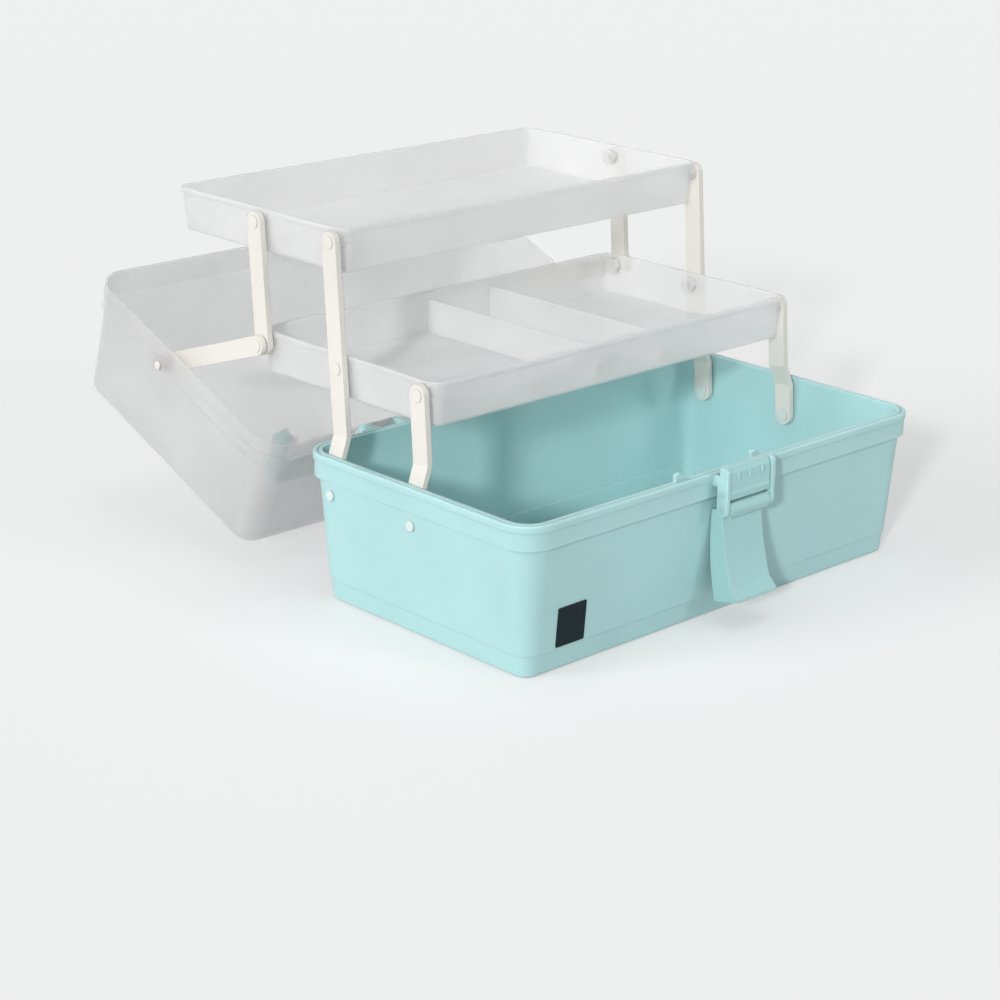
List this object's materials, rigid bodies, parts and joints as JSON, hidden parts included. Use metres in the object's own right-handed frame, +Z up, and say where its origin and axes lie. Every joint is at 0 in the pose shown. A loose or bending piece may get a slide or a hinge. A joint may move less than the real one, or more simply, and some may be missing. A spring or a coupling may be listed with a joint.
{
  "type": "sewing box",
  "caption": "Open sewing box: a drafted base, cantilever trays on folding side arms, a see-through hinged lid with a carry handle, and a lever latch at the front.",
  "frame": {"origin": "under the middle of the base, on the surface it stands on", "axes": "+X to the right as seen from the front, +Y to the rear where the hinge is, +Z up"},
  "size_m": [0.3308, 0.4337, 0.2194],
  "materials": {
    "base_plastic": "satin",
    "lid_plastic": "satin",
    "tray_plastic": "satin",
    "arm_plastic": "satin",
    "pin_steel": "satin"
  },
  "bodies": {
    "base": {"base_box": "base_plastic", "base_arm_pins": "arm_plastic", "hinge_rods": "pin_steel", "latch_lever_pin": "pin_steel", "latch_hook_pin": "pin_steel"},
    "lid": {"lid": "lid_plastic", "lid_link_pins": "arm_plastic", "handle_pins": "arm_plastic"},
    "front_arms": {"front_arm_left": "arm_plastic", "front_arm_right": "arm_plastic"},
    "long_arms": {"long_arm_left": "arm_plastic", "long_arm_right": "arm_plastic"},
    "middle_tray": {"middle_tray": "tray_plastic", "middle_tray_dividers": "tray_plastic", "middle_tray_pins": "arm_plastic"},
    "upper_tray": {"upper_tray": "tray_plastic", "upper_tray_pins": "arm_plastic"},
    "short_arms": {"short_arm_left": "arm_plastic", "short_arm_right": "arm_plastic"},
    "lid_links": {"lid_link_left": "arm_plastic", "lid_link_right": "arm_plastic", "lid_link_rivets": "arm_plastic"},
    "latch_lever": {"latch_lever": "base_plastic"},
    "latch_hook": {"latch_hook": "base_plastic"},
    "handle": {"handle": "base_plastic"}
  },
  "joints": [
    {"name": "lid_swing", "type": "hinge", "parent": "base", "child": "lid", "pos_m": [0, 0.1075, 0.084], "axis": [1, 0, 0], "range_deg": [0, 157.4]},
    {"name": "front_arms_swing", "type": "hinge", "parent": "base", "child": "front_arms", "pos_m": [0, 0.0024, 0.0672], "axis": [1, 0, 0], "range_deg": [0, 72.3]},
    {"name": "long_arms_swing", "type": "hinge", "parent": "base", "child": "long_arms", "pos_m": [0, 0.0719, 0.0672], "axis": [1, 0, 0], "range_deg": [0, 72.3]},
    {"name": "middle_tray_level", "type": "hinge", "parent": "long_arms", "child": "middle_tray", "pos_m": [0, 0.07734, 0.1395], "axis": [1, 0, 0], "range_deg": [-72.3, 0]},
    {"name": "upper_tray_level", "type": "hinge", "parent": "long_arms", "child": "upper_tray", "pos_m": [0, 0.08277, 0.21179], "axis": [1, 0, 0], "range_deg": [-72.3, 0]},
    {"name": "short_arms_swing", "type": "hinge", "parent": "middle_tray", "child": "short_arms", "pos_m": [0, 0.14544, 0.1395], "axis": [1, 0, 0], "range_deg": [0, 72.3]},
    {"name": "lid_links_swing", "type": "hinge", "parent": "middle_tray", "child": "lid_links", "pos_m": [0, 0.14544, 0.1395], "axis": [1, 0, 0], "range_deg": [0, 190.1]},
    {"name": "latch_lever_swing", "type": "hinge", "parent": "base", "child": "latch_lever", "pos_m": [0, -0.1015, 0.0703], "axis": [-1, 0, 0], "range_deg": [-2, 95]},
    {"name": "latch_hook_swing", "type": "hinge", "parent": "base", "child": "latch_hook", "pos_m": [0, -0.1015, 0.0797], "axis": [-1, 0, 0], "range_deg": [-40, 8]},
    {"name": "handle_swing", "type": "hinge", "parent": "lid", "child": "handle", "pos_m": [0, 0.24325, 0.03761], "axis": [1, 0, 0], "range_deg": [0, 90]}
  ],
  "couplings": [
    {"joint": "front_arms_swing", "follows": "lid_swing", "ratio": 0.45912},
    {"joint": "long_arms_swing", "follows": "lid_swing", "ratio": 0.45912},
    {"joint": "middle_tray_level", "follows": "lid_swing", "ratio": -0.45912},
    {"joint": "upper_tray_level", "follows": "lid_swing", "ratio": -0.45912},
    {"joint": "short_arms_swing", "follows": "lid_swing", "ratio": 0.45912},
    {"joint": "lid_links_swing", "follows": "lid_swing", "ratio": 1.2076}
  ]
}
